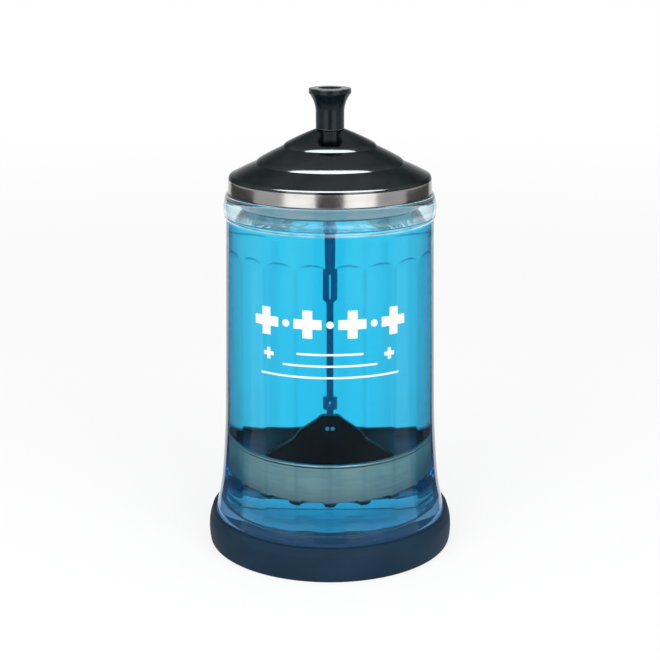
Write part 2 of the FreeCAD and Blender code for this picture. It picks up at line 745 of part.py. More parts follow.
def foot_web():
    """Triangular web that stands across the tray: ribbed edges, cheeks, sole and posts."""
    body = new_body("foot_web")
    end = f"({TRAY_FLOOR} + web_end)"
    plate = outline(
        sketch(body, "plate_outline", "XZ_Plane"),
        (f"-{WEB_HALF}", TRAY_FLOOR),
        line(WEB_HALF, TRAY_FLOOR),
        line(WEB_HALF, end),
        line("web_apex_half", WEB_TOP),
        line("-web_apex_half", WEB_TOP),
        line(f"-{WEB_HALF}", end),
    )
    pad(body, "plate", plate, "web_thick")
    rib_top = f"({WEB_TOP} - web_rib_width)"
    ribs = outline(
        sketch(body, "rib_outline", "XZ_Plane"),
        (f"-{WEB_HALF}", end),
        line(f"-({WEB_HALF} - web_rib_width)", end),
        line("-(web_apex_half - web_rib_width / 2)", rib_top),
        line("web_apex_half - web_rib_width / 2", rib_top),
        line(f"{WEB_HALF} - web_rib_width", end),
        line(WEB_HALF, end),
        line("web_apex_half", WEB_TOP),
        line("-web_apex_half", WEB_TOP),
    )
    pad(body, "edge_ribs", ribs, "web_rib")
    spine = box_outline(sketch(body, "spine_outline", "XZ_Plane"), "spine_half", TRAY_FLOOR, RIVET_HEIGHT)
    pad(body, "spine", spine, "web_rib")
    cheek_foot = f"({WEB_TOP} - tongue_length - cheek_drop)"
    cheeks = outline(
        sketch(body, "cheek_outline", "XZ_Plane"),
        ("-cheek_half", cheek_foot),
        line("cheek_half", cheek_foot),
        line("cheek_half", f"{WEB_TOP} - cheek_half + web_apex_half"),
        line("web_apex_half", WEB_TOP),
        line("-web_apex_half", WEB_TOP),
        line("-cheek_half", f"{WEB_TOP} - cheek_half + web_apex_half"),
    )
    pad(body, "cheeks", cheeks, "cheek_thick")
    sole_top = f"({TRAY_FLOOR} + sole_thick)"
    pad(
        body,
        "sole",
        box_outline(sketch(body, "sole_outline", "XZ_Plane"), WEB_HALF, TRAY_FLOOR, sole_top),
        "sole_half * 2",
    )
    posts = sketch(body, "post_outline", "XY_Plane", TRAY_FLOOR)
    for side in (f"-{POST_HALF}", POST_HALF):
        ring(posts, side, 0, "post_r")
    pad(body, "posts", posts, "post_height", middle=False)
    mouth = sketch(body, "tongue_pocket_outline", "XZ_Plane")
    clear = "screw_clear"
    box_outline(mouth, f"(tongue_half + {clear})", f"{WEB_TOP} - tongue_length", f"{WEB_TOP} + cheek_drop")
    pocket(body, "tongue_pocket", mouth, f"tongue_thick + {clear} * 2")
    pocket(body, "rivet_holes_in_web", rivet_rings(body), "cheek_thick * 2")
    holes = sketch(body, "post_hole_outline", "XY_Plane", TRAY_FLOOR)
    for side in (f"-{POST_HALF}", POST_HALF):
        ring(holes, side, 0, "post_screw_r + screw_clear")
    pocket(body, "post_holes", holes, "post_screw_grip", middle=False)
    return body


def web_rivets():
    """Two rivets across the cheeks and the rod's tongue, headed on both sides."""
    body = new_body("rivet")
    shank = ring(sketch(body, "shank_outline", "XZ_Plane"), "rivet_half", RIVET_HEIGHT, "rivet_r")
    pad(body, "shank", shank, "cheek_thick + rivet_head * 2")
    for name, lift in (("front_head", "cheek_thick / 2"), ("back_head", "-cheek_thick / 2 - rivet_head")):
        drawing = sketch(body, name + "_outline", "XZ_Plane", lift)
        head = ring(drawing, "rivet_half", RIVET_HEIGHT, "rivet_head_r")
        pad(body, name, head, "rivet_head", middle=False)
    return pair("web_rivets", body)


def tray():
    """Steel tray: rolled rim, rounded corner, drain holes round the corner and in the floor."""
    body = new_body("tray")
    rim = f"({TRAY_FOOT} + tray_height)"
    inner = "(tray_r - tray_gauge)"
    inner_round = "(tray_corner - tray_gauge)"
    turn(
        body,
        "pan",
        (0, TRAY_FOOT),
        line("tray_r - tray_corner", TRAY_FOOT),
        arc("tray_r", f"{TRAY_FOOT} + tray_corner", "tray_corner"),
        line("tray_r", f"{rim} - tray_bead * 2"),
        arc(inner, f"{rim} - tray_bead / 2", "tray_bead", long=True),
        line(inner, f"{TRAY_FOOT} + tray_corner"),
        arc(f"{inner} - {inner_round}", TRAY_FLOOR, inner_round, left=False),
        line(0, TRAY_FLOOR),
    )
    edge = sketch(body, "edge_hole_outline", "XY_Plane", TRAY_FOOT)
    away = "(tray_r - edge_hole_inset)"
    first = "(90 + 180 / edge_hole_count)"
    ring(edge, f"{away} * cos({first})", f"-{away} * sin({first})", "edge_hole_r")
    hole = pocket(body, "edge_hole", edge, "edge_hole_rise", middle=False)
    pattern(body, "edge_holes", hole, "edge_hole_count")
    floor = sketch(body, "floor_hole_outline", "XY_Plane", TRAY_FOOT)
    first = "(180 / floor_hole_count)"
    away = FLOOR_HOLE_RING
    ring(floor, f"{away} * cos({first})", f"{away} * sin({first})", "floor_hole_r")
    hole = pocket(body, "floor_hole", floor, "tray_gauge * 2", middle=False)
    pattern(body, "floor_holes", hole, "floor_hole_count")
    screws = sketch(body, "screw_hole_outline", "XY_Plane", TRAY_FOOT)
    for side in (f"-{POST_HALF}", POST_HALF):
        ring(screws, side, 0, "post_screw_r + screw_clear")
    pocket(body, "screw_holes", screws, "tray_gauge * 2", middle=False)
    return body


def tray_screws():
    """Two pan-head screws from under the tray into the posts of the web."""
    foot = f"({TRAY_FOOT} - washer_gauge)"
    shank = doc.addObject("Part::Cylinder", "screw_shank")
    shank.setExpression("Radius", sized("post_screw_r"))
    shank.setExpression("Height", sized("post_screw_grip + washer_gauge"))
    shank.setExpression("Placement.Base.z", sized(foot))
    head = doc.addObject("Part::Cone", "screw_head")
    head.setExpression("Radius1", sized("pan_head_r - pan_head / 2"))
    head.setExpression("Radius2", sized("pan_head_r"))
    head.setExpression("Height", sized("pan_head"))
    head.setExpression("Placement.Base.z", sized(f"{foot} - pan_head"))
    for piece in (shank, head):
        piece.setExpression("Placement.Base.x", sized(POST_HALF))
    return pair("tray_screws", boolean("Part::Fuse", "tray_screw", shank, head))


def tray_washers():
    """Two flat washers between the screws' heads and the tray."""
    disc = doc.addObject("Part::Cylinder", "washer_disc")
    disc.setExpression("Radius", sized("washer_r"))
    hole = doc.addObject("Part::Cylinder", "washer_hole")
    hole.setExpression("Radius", sized("post_screw_r + screw_clear"))
    for piece in (disc, hole):
        piece.setExpression("Height", sized("washer_gauge"))
        piece.setExpression("Placement.Base.x", sized(POST_HALF))
        piece.setExpression("Placement.Base.z", sized(f"{TRAY_FOOT} - washer_gauge"))
    return pair("tray_washers", boolean("Part::Cut", "tray_washer", disc, hole))


glass_outside = jar_outside()
nodes = [
    glass_jar(glass_outside),
    rubber_base(glass_outside),
    lid_shell(),
    lid_plug_ring(),
    rod_bush(),
    bush_clip(),
    knob(),
    knob_cap(),
    knob_screw(),
    lift_rod(),
    foot_web(),
    web_rivets(),
    tray(),
    tray_screws(),
    tray_washers(),
]
doc.recompute()

failed = [item.Name for item in doc.Objects if {"Invalid", "Error"} & set(item.State)]
if failed:
    raise RuntimeError("failed objects: " + ", ".join(failed))
for node in nodes:
    if node.Shape.isNull() or not node.Shape.isValid() or not node.Shape.Solids:
        raise RuntimeError(f"{node.Label} has no sound solid")

os.makedirs("parts", exist_ok=True)
for node in nodes:
    node.Shape.exportStep(os.path.join("parts", node.Label + ".step"))
    box = node.Shape.optimalBoundingBox()
    print(
        f"{node.Label}: {len(node.Shape.Solids)} solid(s), {node.Shape.Volume:.0f} mm3,"
        f" z {box.ZMin:.2f} to {box.ZMax:.2f}, x {box.XMin:.2f} to {box.XMax:.2f}"
    )
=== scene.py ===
"""Looks of a counter-top disinfectant jar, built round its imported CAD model.

Sizes are in millimetres until a mesh is made, and the frame is in metres, +Z up.
"""

import logging
import math
from dataclasses import dataclass, field
from enum import Enum
from typing import Any

import bpy
import numpy as np
from numpy.typing import NDArray
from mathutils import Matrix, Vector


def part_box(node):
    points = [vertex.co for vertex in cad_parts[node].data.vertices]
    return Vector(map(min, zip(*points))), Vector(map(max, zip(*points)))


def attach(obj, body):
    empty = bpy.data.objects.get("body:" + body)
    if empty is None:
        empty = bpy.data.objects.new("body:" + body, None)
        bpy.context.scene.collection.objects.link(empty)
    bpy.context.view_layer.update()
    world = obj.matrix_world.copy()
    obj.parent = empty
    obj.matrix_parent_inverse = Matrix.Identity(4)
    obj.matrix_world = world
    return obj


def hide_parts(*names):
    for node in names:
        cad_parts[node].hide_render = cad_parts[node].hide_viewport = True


Array = NDArray[np.float64]
Pair = tuple[float, float]
Triple = tuple[float, float, float]
Colour = Triple
Run = tuple[float, float, float, int]
Faces = NDArray[np.int32]
Options = dict[str | int, Any] | None
Piece = bpy.types.Object

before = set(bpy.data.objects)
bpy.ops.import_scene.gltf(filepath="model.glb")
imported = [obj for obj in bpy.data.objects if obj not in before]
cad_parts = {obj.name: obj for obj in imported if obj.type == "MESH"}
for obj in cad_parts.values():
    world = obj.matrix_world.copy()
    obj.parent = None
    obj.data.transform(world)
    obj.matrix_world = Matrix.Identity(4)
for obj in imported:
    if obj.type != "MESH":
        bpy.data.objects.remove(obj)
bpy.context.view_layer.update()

MM = 0.001
LOG = logging.getLogger("jar")

BLACK = (0.0, 0.0, 0.0)
WHITE = (1.0, 1.0, 1.0)
# The bore's panels, and half the angle that each takes up.
PANELS = 18
HALF_PANEL = math.pi / PANELS
# The liquid's height above the table, and the glass floor's above the glass's foot.
LIQUID_LEVEL = 153.2
GLASS_FLOOR = 11.0


# ---- Shaders ----


def toned(colour: Colour, gain: float, lift: float = 0.0) -> Colour:
    """A colour made paler or darker, up to white."""
    return tuple(min(1.0, part * gain + lift) for part in colour)


def glowing(colour: Colour, strength: float = 1.0) -> tuple[tuple[str, Any], ...]:
    """Shader sockets for a surface with light of its own."""
    return (("Emission Color", colour), ("Emission Strength", strength))


@dataclass(frozen=True)
class Term:
    """A shader socket that Python sums can use: each sum adds its Math node."""

    net: "Net"
    socket: bpy.types.NodeSocket

    def __add__(self, other: "Term | float") -> "Term":
        """This plus another, in either order."""
        return self.net.math("ADD", self, other)

    __radd__ = __add__

    def __sub__(self, other: "Term | float") -> "Term":
        """This less another."""
        return self.net.math("SUBTRACT", self, other)

    def __rsub__(self, other: float) -> "Term":
        """A number less this."""
        return self.net.math("SUBTRACT", other, self)

    def __mul__(self, other: "Term | float") -> "Term":
        """This times another, in either order."""
        return self.net.math("MULTIPLY", self, other)

    __rmul__ = __mul__

    def step(self, low: float, high: float) -> "Term":
        """Rise smoothly from 0 where this is low to 1 where it is high."""
        settings = {"interpolation_type": "SMOOTHSTEP"}
        return self.net.term("ShaderNodeMapRange", settings, {0: self, 1: low, 2: high})


class Net:
    """The nodes of one material or of the world."""

    def __init__(self, owner: bpy.types.Material | bpy.types.World) -> None:
        """Start with an empty tree."""
        owner.use_nodes = True
        self.tree = owner.node_tree
        self.tree.nodes.clear()

    def node(self, kind: str, settings: Options = None, inputs: Options = None) -> bpy.types.Node:
        """Add a node, set it, and feed its sockets.

        Args:
            kind: Blender's name for the node type.
            settings: Properties, set first.
            inputs: A number, a colour, a Term or another node's socket for each socket.

        Returns:
            The new node.
        """
        made = self.tree.nodes.new(kind)
        for key, setting in (settings or {}).items():
            setattr(made, key, setting)
        for key, given in (inputs or {}).items():
            if isinstance(given, Term):
                given = given.socket
            if isinstance(given, bpy.types.NodeSocket):
                self.tree.links.new(given, made.inputs[key])
            elif isinstance(given, tuple) and made.inputs[key].type == "RGBA":
                made.inputs[key].default_value = (*given, 1.0)
            else:
                made.inputs[key].default_value = given
        return made

    def term(self, kind: str, settings: Options = None, inputs: Options = None, out: int | str = 0) -> Term:
        """Add a node, as node() does, and take one of its outputs."""
        return Term(self, self.node(kind, settings, inputs).outputs[out])

    def math(self, operation: str, *values: Term | float) -> Term:
        """One Math node, with one to three values."""
        return self.term("ShaderNodeMath", {"operation": operation}, dict(enumerate(values)))

    def axes(self) -> tuple[Term, Term, Term]:
        """Object coordinates in millimetres.

        Returns:
            x, y and z.
        """
        source = self.term("ShaderNodeTexCoord", out="Object")
        made = self.node("ShaderNodeSeparateXYZ", None, {0: source})
        return tuple(Term(self, socket) * (1 / MM) for socket in made.outputs)

    def radius(self) -> Term:
        """Distance from the upright axis, in millimetres."""
        x, y, _ = self.axes()
        return self.math("SQRT", x * x + y * y)

    def noise(
        self, scale: float, detail: float = 2.0, rough: float = 0.5, stretch: Triple = (1.0, 1.0, 1.0)
    ) -> Term:
        """Cloudy noise from 0 to 1 in object coordinates.

        Args:
            scale: Patches per metre.
            detail: Octaves.
            rough: How strong the finer octaves are.
            stretch: How fast it changes along each axis.

        Returns:
            The noise.
        """
        source = self.term("ShaderNodeTexCoord", out="Object")
        where = self.term("ShaderNodeMapping", None, {"Vector": source, "Scale": stretch})
        inputs = {"Vector": where, "Scale": scale, "Detail": detail, "Roughness": rough}
        return self.term("ShaderNodeTexNoise", None, inputs)

    def mix(
        self, factor: Term | float, first: Term | Colour, second: Term | Colour, blend: str = "MIX"
    ) -> Term:
        """Blend two colours: a factor of 0 is the first alone, and 1 is the full blend."""
        settings = {"data_type": "RGBA", "blend_type": blend}
        return self.term("ShaderNodeMix", settings, {0: factor, 6: first, 7: second}, 2)

    def tint(self, factor: Term | float, first: Term | Colour, second: Term | Colour) -> Term:
        """Multiply a colour by another, as far as the factor says."""
        return self.mix(factor, first, second, "MULTIPLY")

    def bump(self, height: Term, depth: float) -> Term:
        """A normal from a height of 0 to 1, where 1 stands for depth millimetres."""
        return self.term("ShaderNodeBump", None, {"Height": height, "Distance": depth * MM})


@dataclass(frozen=True)
class Finish:
    """A material: what is the same all over it, and a pattern that each kind adds."""

    name: str
    colour: Colour
    roughness: float = 0.5
    metallic: float = 0.0
    sockets: tuple[tuple[str, Any], ...] = ()

    def vary(self, net: Net) -> dict[str, Term]:
        """Sockets that change over the surface; none on a plain finish."""
        return {}

    def material(self) -> bpy.types.Material:
        """Make the material, or find it if it is made.

        Returns:
            The material.
        """
        if self.name in bpy.data.materials:
            return bpy.data.materials[self.name]
        made = bpy.data.materials.new(self.name)
        net = Net(made)
        even = {"Base Color": self.colour, "Roughness": self.roughness, "Metallic": self.metallic}
        inputs = {**even, **dict(self.sockets), **self.vary(net)}
        shader = net.node("ShaderNodeBsdfPrincipled", None, inputs)
        out = net.node("ShaderNodeOutputMaterial", None, {"Surface": shader.outputs[0]})
        self.fill(net, out)
        return made

    def fill(self, net: Net, out: bpy.types.Node) -> None:
        """Feed the inside of the piece; only a clear one has an inside."""


@dataclass(frozen=True)
class Dyed(Finish):
    """Something clear whose colour deepens with the way that light goes through it."""

    dye: Colour = (0.5, 0.5, 0.5)
    dye_depth: float = 85.0

    def fill(self, net: Net, out: bpy.types.Node) -> None:
        """Absorption that leaves the dye's colour after dye_depth millimetres.

        Args:
            net: The material's nodes.
            out: Its output.
        """
        taken = -np.log(np.array(self.dye)) / (self.dye_depth * MM)
        density = float(taken.max())
        kept = tuple((1 - taken / density).tolist())
        inside = net.node("ShaderNodeVolumeAbsorption", None, {"Color": kept, "Density": density})
        net.tree.links.new(inside.outputs[0], out.inputs["Volume"])


@dataclass(frozen=True)
class RestingLiquid(Dyed):
    """A dyed liquid whose top isn't quite still and has painted patches of light glowing on it."""

    top: float = LIQUID_LEVEL - 0.4
    reach: float = 40.0
    ripple: float = 0.35
    ripple_size: float = 9.0
    # Painted light: patches that glow on the top.
    painted_top_light: Colour = (0.11, 0.30, 0.36)
    painted_top_light_scale: float = 90.0
    painted_top_light_least: float = 0.4

    def vary(self, net: Net) -> dict[str, Term]:
        """Slow ripples in the normal of the top alone, and painted patches of light glowing on it."""
        high = net.axes()[2].step(self.top - 0.3, self.top)
        top = high * (1 - net.radius().step(self.reach - 3, self.reach))
        waves = net.noise(1 / (self.ripple_size * MM), stretch=(1.0, 1.6, 0.0))
        cloud = net.noise(self.painted_top_light_scale, stretch=(1.0, 0.5, 0.0)).step(0.35, 0.65)
        patches = cloud * (1 - self.painted_top_light_least) + self.painted_top_light_least
        return {
            "Emission Color": net.mix(patches * top, BLACK, self.painted_top_light),
            "Normal": net.bump(waves * top, self.ripple),
        }


@dataclass(frozen=True)
class PressedGlass(Dyed):
    """Clear glass with the slow waves of the press and painted shade along its panels.

    The painted shade runs where two panels meet and along each panel's arched top,
    where the glass folds the light away. Where the outside is seen on the slant,
    painted shade deepens the tint, for the long way that light goes inside there.
    The foot's outside has painted shade for the shadow under the tray, and a faint
    painted glow. The bead has two painted highlights, bright lines at its foot and
    at its crown.
    """

    wave: float = 0.05
    wave_size: float = 14.0
    bore_r: float = 43.2
    # Painted shade along the panel creases and arches: where the arches and corners lie, how dark the
    # corners are, and its colour, line.
    arch_foot: float = 137.3
    arch_rise: float = 2.1
    arch_u: Pair = (0.1, 0.7)
    corner_u: Pair = (0.03, 0.22)
    corner_depth: float = 0.25
    line: Colour = (0.14, 0.34, 0.48)
    streak: Colour = (0.70, 0.87, 0.95)
    streak_scale: float = 85.0
    streak_depth: float = 0.8
    # Painted shade where the outside is seen on the slant, partly spared on the bead and the foot.
    edge: Colour = (0.10, 0.24, 0.42)
    edge_shade_slant: Pair = (0.15, 0.85)
    # Painted shade on the outside of the foot, for the shadow under the tray; foot is its colour.
    foot_shade_z: Pair = (26.0, 34.0)
    foot: Colour = (0.50, 0.42, 0.47)
    foot_spared: float = 0.75
    bead_z: Pair = (150.5, 153.5)
    bead_spared: float = 0.7
    film_z: Pair = (LIQUID_LEVEL - 0.8, LIQUID_LEVEL + 0.7)
    film: Colour = (0.78, 0.93, 0.96)
    film_least: float = 0.55
    stipple_z: Pair = (2.0, 2.6)
    stipple: float = 0.5
    # Painted glow on the outside of the foot, for light piped down from the liquid.
    foot_glow_z: Pair = (21.0, 30.0)
    painted_foot_glow: Colour = (0.015, 0.040, 0.068)
    # Painted highlights: light lines in patches at the bead's foot and, fainter, at its crown; lip is their
    # colour.
    highlight_z: Pair = (153.0, 156.8)
    highlight_half: float = 1.3
    lip: Colour = (0.34, 0.36, 0.34)
    highlight_scale: float = 60.0
    crown: float = 0.4

    def vary(self, net: Net) -> dict[str, Term]:
        """Waves in the normal, painted shade and streaks in the colour, and painted glow and highlights.

        u goes from 0 where two panels meet to 1 at the middle of a panel,
        and the arch stands at its foot plus its rise times
        1 - (1 - u) squared.
        """
        x, y, height = net.axes()
        u = net.math("PINGPONG", net.math("ARCTAN2", x, y), HALF_PANEL) * (1 / HALF_PANEL)
        above = height - (self.arch_foot + self.arch_rise * (1 - (1 - u) * (1 - u)))
        # Painted shade where two panels meet and along each panel's arch.
        corner_shade = (1 - u.step(*self.corner_u)) * (1 - above.step(-1.5, 0.0))
        arch_shade = above.step(-1.0, -0.2) * (1 - above.step(0.15, 0.5)) * u.step(*self.arch_u)
        painted_crease_shade = net.math("MAXIMUM", corner_shade * self.corner_depth, arch_shade)
        outside = net.radius().step(self.bore_r - 0.3, self.bore_r)
        bore = 1 - outside
        streaks = net.noise(self.streak_scale, 3.0, 0.6, (1.0, 1.0, 0.03)).step(0.4, 0.7)
        tinted = net.tint(streaks * bore * self.streak_depth, self.colour, self.streak)
        # Painted shade on the outside where it is seen on the slant.
        slant = net.term("ShaderNodeLayerWeight", None, {"Blend": 0.5}, "Facing")
        bead = height.step(*self.bead_z)
        low = 1 - height.step(*self.foot_shade_z)
        spared = bead * self.bead_spared + low * self.foot_spared
        slanted = slant.step(*self.edge_shade_slant) * outside * (1 - spared)
        edge_shaded = net.tint(slanted, tinted, self.edge)
        waves = net.noise(1 / (self.wave_size * MM), 1.0, stretch=(1.0, 1.0, 0.6))
        wet = height.step(*self.film_z) * bore * (self.film_least + streaks * (1 - self.film_least))
        # Painted shade on the outside of the foot, then the wet film at the level.
        shaded_wet_colour = net.tint(wet, net.tint(low * outside, edge_shaded, self.foot), self.film)
        # Painted glow low on the outside of the foot.
        foot_glow_mask = (1 - height.step(*self.foot_glow_z)) * outside
        # Painted highlights at the bead's foot and crown.
        foot, crown = (1 - net.math("ABSOLUTE", height - z).step(0.3, self.highlight_half) for z in self.highlight_z)
        highlight_patches = net.noise(self.highlight_scale, stretch=(1.0, 1.0, 0.1)).step(0.3, 0.6)
        lip = net.math("MAXIMUM", foot, crown * self.crown) * highlight_patches * outside
        return {
            "Base Color": net.tint(painted_crease_shade * bore, shaded_wet_colour, self.line),
            "Roughness": (1 - height.step(*self.stipple_z)) * self.stipple,
            "Emission Color": net.mix(lip, net.mix(foot_glow_mask, BLACK, self.painted_foot_glow), self.lip),
            "Normal": net.bump(waves, self.wave),
        }


@dataclass(frozen=True)
class TurnedSteel(Finish):
    """Polished spun steel: fine rings round the axis, and faint wiping marks."""

    ring_pitch: float = 0.35
    ring_depth: float = 0.004
    smudge: float = 0.05
    smudge_scale: float = 45.0
    paler: float = 1.35

    def vary(self, net: Net) -> dict[str, Term]:
        """Rings in the normal, and marks in the roughness and colour."""
        inputs = {"W": net.radius(), "Scale": 1 / self.ring_pitch, "Detail": 4.0}
        rings = net.term("ShaderNodeTexNoise", {"noise_dimensions": "1D"}, inputs)
        marks = net.noise(self.smudge_scale, 5.0, 0.6).step(0.35, 0.75)
        return {
            "Base Color": net.mix(marks, self.colour, toned(self.colour, self.paler)),
            "Roughness": self.roughness + marks * self.smudge,
            "Normal": net.bump(rings, self.ring_depth),
        }


@dataclass(frozen=True)
class BrushedSteel(Finish):
    """Steel brushed round the axis: level hairlines of uneven length and depth."""

    hair: float = 0.12
    hair_depth: float = 0.006
    contrast: float = 0.12
    patch_scale: float = 60.0
    patchy: float = 0.12

    def vary(self, net: Net) -> dict[str, Term]:
        """Hairlines in the normal, roughness and colour."""
        hairs = net.noise(1 / (self.hair * MM), 3.0, 0.65, (0.012, 0.012, 1.0))
        patches = net.noise(self.patch_scale, 4.0, 0.6, (1.0, 1.0, 2.5))
        tone = hairs * 0.6 + patches * 0.4
        darker, paler = (toned(self.colour, 1 + part) for part in (-self.contrast, self.contrast))
        return {
            "Base Color": net.mix(tone.step(0.3, 0.7), darker, paler),
            "Roughness": self.roughness + (patches - 0.5) * self.patchy,
            "Normal": net.bump(hairs, self.hair_depth),
        }


@dataclass(frozen=True)
class MouldedPlastic(Finish):
    """Moulded plastic: a slight orange peel, and handling wear that dulls it in patches."""

    peel: float = 0.004
    peel_size: float = 0.9
    wear: float = 0.12
    wear_scale: float = 160.0

    def vary(self, net: Net) -> dict[str, Term]:
        """Peel in the normal, and wear in the roughness and colour."""
        peel = net.noise(1 / (self.peel_size * MM))
        worn = net.noise(self.wear_scale, 4.0, 0.6).step(0.45, 0.8)
        return {
            "Base Color": net.mix(worn, self.colour, toned(self.colour, 1.3, 0.002)),
            "Roughness": self.roughness + worn * self.wear,
            "Normal": net.bump(peel, self.peel),
        }


@dataclass(frozen=True)
class MouldedRubber(Finish):
    """Matt rubber: a fine grain, a bloom that pales it in soft patches, and painted light in the seat under
    the glass.
    """

    seat_r: float = 54.3
    seat_z: Pair = (13.0, 14.5)
    # seat: painted light, a pale blue in the seat under the glass, where little light gets in.
    seat: Colour = (0.5, 0.5, 0.5)
    grain: float = 0.02
    grain_size: float = 0.35
    bloom: float = 0.35
    bloom_scale: float = 32.0
    bloom_smooth: float = 0.08

    def vary(self, net: Net) -> dict[str, Term]:
        """Grain in the normal, bloom in the colour and roughness, and painted light in the seat's colour.
        """
        grain = net.noise(1 / (self.grain_size * MM), 4.0, 0.7)
        bloom = net.noise(self.bloom_scale, 5.0, 0.6, (1.0, 1.0, 1.6)).step(0.35, 0.8)
        paler = toned(self.colour, 1 + self.bloom)
        # Painted light: inside seat_r and below seat_z the seat colour stands in for light.
        high = net.axes()[2].step(*self.seat_z)
        outside = net.math("MAXIMUM", net.radius().step(self.seat_r, self.seat_r + 0.4), high)
        return {
            "Base Color": net.mix(outside, self.seat, net.mix(bloom, self.colour, paler)),
            "Roughness": self.roughness - bloom * self.bloom_smooth,
            "Normal": net.bump(grain, self.grain),
        }


@dataclass(frozen=True)
class FiredEnamel(Finish):
    """White enamel fired on to glass: thick at its middle, with a faint grain."""

    grain: float = 0.006
    grain_scale: float = 2600.0
    darker: float = 0.965

    def vary(self, net: Net) -> dict[str, Term]:
        """Grain in the normal and the colour."""
        grain = net.noise(self.grain_scale, 3.0, 0.6)
        return {
            "Base Color": net.mix(grain.step(0.2, 0.5), toned(self.colour, self.darker), self.colour),
            "Normal": net.bump(grain, self.grain),
        }


GLOSS = "Specular IOR Level"
CLEAR = (("Transmission Weight", 1.0), ("Emission Strength", 1.0))
DULL = ((GLOSS, 0.0),)

GLASS = PressedGlass(
    "pressed_glass", (0.97, 0.99, 0.995), 0.0,
    sockets=(("IOR", 1.5), ("Specular Tint", (0.12, 0.12, 0.12)), *CLEAR),
    dye=(0.40, 0.68, 0.84), dye_depth=42.0,
)
LIQUID = RestingLiquid(
    "blue_disinfectant", WHITE, 0.0,
    sockets=(("IOR", 1.333), ("Specular Tint", BLACK), *CLEAR),
    dye=(0.030, 0.66, 0.945),
)
# The enamel is thin: a painted glow stands for the light that comes through it, about a third of its white.
ENAMEL = FiredEnamel(
    "white_enamel", (0.56, 0.57, 0.57), 0.35,
    sockets=((GLOSS, 0.4), *glowing((0.27, 0.28, 0.28))),
)
DOME_STEEL = TurnedSteel(
    "dark_polished_steel", (0.029, 0.033, 0.033), 0.12, 1.0,
    sockets=(("Specular Tint", (0.42, 0.43, 0.43)),),
)
BAND_STEEL = BrushedSteel(
    "brushed_band_steel", (0.28, 0.275, 0.265), 0.2, 1.0,
    hair_depth=0.003,
    sockets=(("Anisotropic", 0.4), ("Anisotropic Rotation", 0.25)),
)
# The rim's glass and the liquid throw light up into the closed lid. Few of its bounces
# are followed, so the two faces inside have a faint painted glow in place of that light.
INSIDE_STEEL = BrushedSteel(
    "lid_inside_steel", (0.72, 0.75, 0.76), 0.45, 0.7, sockets=glowing((0.12, 0.20, 0.22))
)
# The plug ring's blue tint is painted light too, from the liquid under it.
RING_STEEL = BrushedSteel(
    "plug_ring_steel", (0.29, 0.37, 0.40), 0.35, 0.6, sockets=glowing((0.02, 0.05, 0.06))
)
TRAY_STEEL = BrushedSteel("satin_tray_steel", (0.43, 0.385, 0.365), 0.30, 1.0, hair=0.2, contrast=0.2)
FASTENER_STEEL = TurnedSteel("fastener_steel", (0.42, 0.43, 0.43), 0.24, 1.0, ring_pitch=0.2)
BLACK_PLASTIC = MouldedPlastic("black_knob_plastic", (0.003, 0.007, 0.009), 0.2, sockets=((GLOSS, 0.14),))
CAP_PLASTIC = MouldedPlastic(
    "black_cap_plastic", (0.004, 0.008, 0.010), 0.6, sockets=(("IOR", 1.12), (GLOSS, 0.04))
)
WEB_PLASTIC = MouldedPlastic("dark_web_plastic", (0.002, 0.008, 0.011), 0.35, sockets=((GLOSS, 0.05),))
ROD_PLASTIC = MouldedPlastic("blue_rod_plastic", (0.09, 0.16, 0.29), 0.3)
BUSH_PLASTIC = MouldedPlastic("bush_plastic", (0.02, 0.022, 0.024), 0.45)
RUBBER = MouldedRubber(
    "navy_rubber", (0.009, 0.025, 0.045), 0.55,
    sockets=((GLOSS, 0.05),),
    # The seat's pale blue is painted light under the glass.
    seat=(0.10, 0.30, 0.50),
)
BLACK_CARD = Finish("black_card", (0.004, 0.004, 0.004), 0.9, sockets=DULL)
WHITE_CARD = Finish("lit_card", BLACK, 0.9, sockets=(*DULL, *glowing(WHITE, 3.0)))
GREY_CARD = Finish("edge_card", BLACK, 0.9, sockets=(*DULL, *glowing(WHITE, 0.10)))


# ---- Surfaces ----


class Profile:
    """A half outline, radius and height, drawn with straight runs and arcs."""

    def __init__(self, radius: float, height: float) -> None:
        """Start at a distance from the axis and a height."""
        self.points = [np.array([radius, height])]

    def line(self, radius: float, height: float, steps: int) -> "Profile":
        """Go straight to a point.

        Args:
            radius: Its distance from the axis.
            height: Its height.
            steps: How many points the run takes.

        Returns:
            The profile itself.
        """
        start, end = self.points[-1], np.array([radius, height])
        share = np.arange(1, steps + 1)[:, None] / steps
        self.points.extend(start + (end - start) * share)
        return self

    def arc(self, radius: float, height: float, bend: float, steps: int) -> "Profile":
        """Go round to a point along the shorter arc of a circle.

        The centre is half the chord along it and then square to it, by
        the root of bend squared less half the chord squared.

        Args:
            radius: The end's distance from the axis.
            height: The end's height.
            bend: The circle's radius, less than 0 where the run turns right.
            steps: How many points the run takes.

        Returns:
            The profile itself.
        """
        start, end = self.points[-1], np.array([radius, height])
        chord = end - start
        half = np.hypot(*chord) / 2
        side, bend = math.copysign(1.0, bend), abs(bend)
        square = np.array([-chord[1], chord[0]]) / (2 * half)
        centre = start + chord / 2 + square * side * math.sqrt(max(bend**2 - half**2, 0.0))
        first = math.atan2(*(start - centre)[::-1])
        turn = side * 2 * math.asin(min(half / bend, 1.0))
        angles = first + turn * np.arange(1, steps + 1) / steps
        self.points.extend(centre + bend * np.stack([np.cos(angles), np.sin(angles)], axis=1))
        return self

    def array(self) -> Array:
        """The points, one row each."""
        return np.array(self.points)


